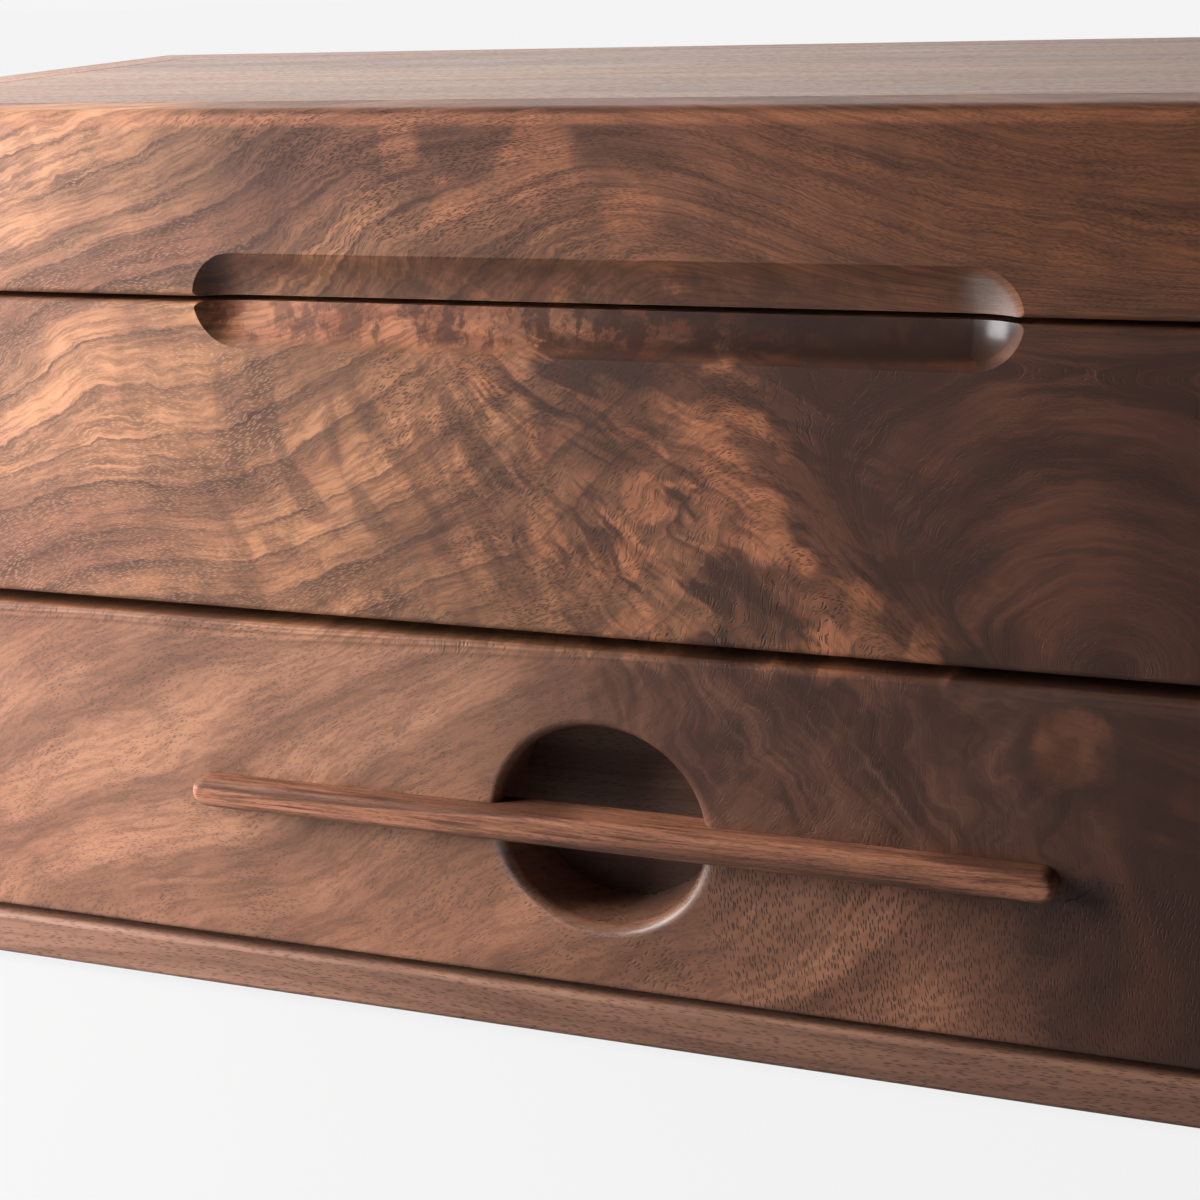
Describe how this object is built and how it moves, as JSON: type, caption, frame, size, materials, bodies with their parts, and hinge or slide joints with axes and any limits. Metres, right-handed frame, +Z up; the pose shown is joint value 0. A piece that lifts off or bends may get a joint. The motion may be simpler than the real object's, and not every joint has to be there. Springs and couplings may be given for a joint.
{
  "type": "watch box with drawer",
  "caption": "Walnut watch box with a hinged framed lid over a row of watch cushions and a drawer with a bar pull below.",
  "frame": {"origin": "middle of the footprint (the pull bar's reach at the front included), on the table", "axes": "+X to the right along the front, +Y from the front to the back, +Z up"},
  "size_m": [0.28, 0.1384, 0.1411],
  "materials": {
    "walnut": "satin oil on figured walnut",
    "maple": "bare planed maple",
    "brass": "satin brass",
    "suede": "napped suede cloth",
    "cushion_leather": "soft grained leather",
    "felt": "pressed wool felt",
    "silicone": "clear soft silicone"
  },
  "bodies": {
    "case": {"case_front": "walnut", "case_back": "walnut", "case_left_side": "walnut", "case_right_side": "walnut", "base_panel": "walnut", "tray_slat_1": "walnut", "tray_slat_2": "walnut", "tray_slat_3": "walnut", "tray_slat_4": "walnut", "tray_floor": "maple", "drawer_runner_left": "maple", "drawer_runner_right": "maple", "base_screws": "brass", "runner_screws": "brass", "hinge_case_leaf_left": "brass", "hinge_case_leaf_right": "brass", "hinge_pin_left": "brass", "hinge_pin_right": "brass", "hinge_case_screws": "brass", "tray_lining": "suede", "watch_cushion_1": "cushion_leather", "watch_cushion_2": "cushion_leather", "watch_cushion_3": "cushion_leather", "watch_cushion_4": "cushion_leather", "watch_cushion_5": "cushion_leather", "foot_pads": "felt", "drawer_bumpers": "felt", "lid_dots": "silicone"},
    "lid": {"lid_front_rail": "walnut", "lid_back_rail": "walnut", "lid_left_rail": "walnut", "lid_right_rail": "walnut", "lid_panel": "walnut", "lid_lining": "suede", "hinge_lid_leaf_left": "brass", "hinge_lid_leaf_right": "brass", "hinge_lid_screws": "brass"},
    "drawer": {"drawer_face": "walnut", "drawer_pull": "walnut", "drawer_box_front": "walnut", "drawer_box_back": "walnut", "drawer_left_side": "walnut", "drawer_right_side": "walnut", "drawer_bottom": "walnut", "drawer_lining": "suede", "drawer_face_screws": "brass"}
  },
  "joints": [
    {"name": "lid_hinge", "type": "hinge", "parent": "case", "child": "lid", "pos_m": [0, 0.0652, 0.1142], "axis": [-1, 0, 0], "range_deg": [0, 95]},
    {"name": "drawer_slide", "type": "slide", "parent": "case", "child": "drawer", "axis": [0, -1, 0], "range_m": [0, 0.08]}
  ]
}
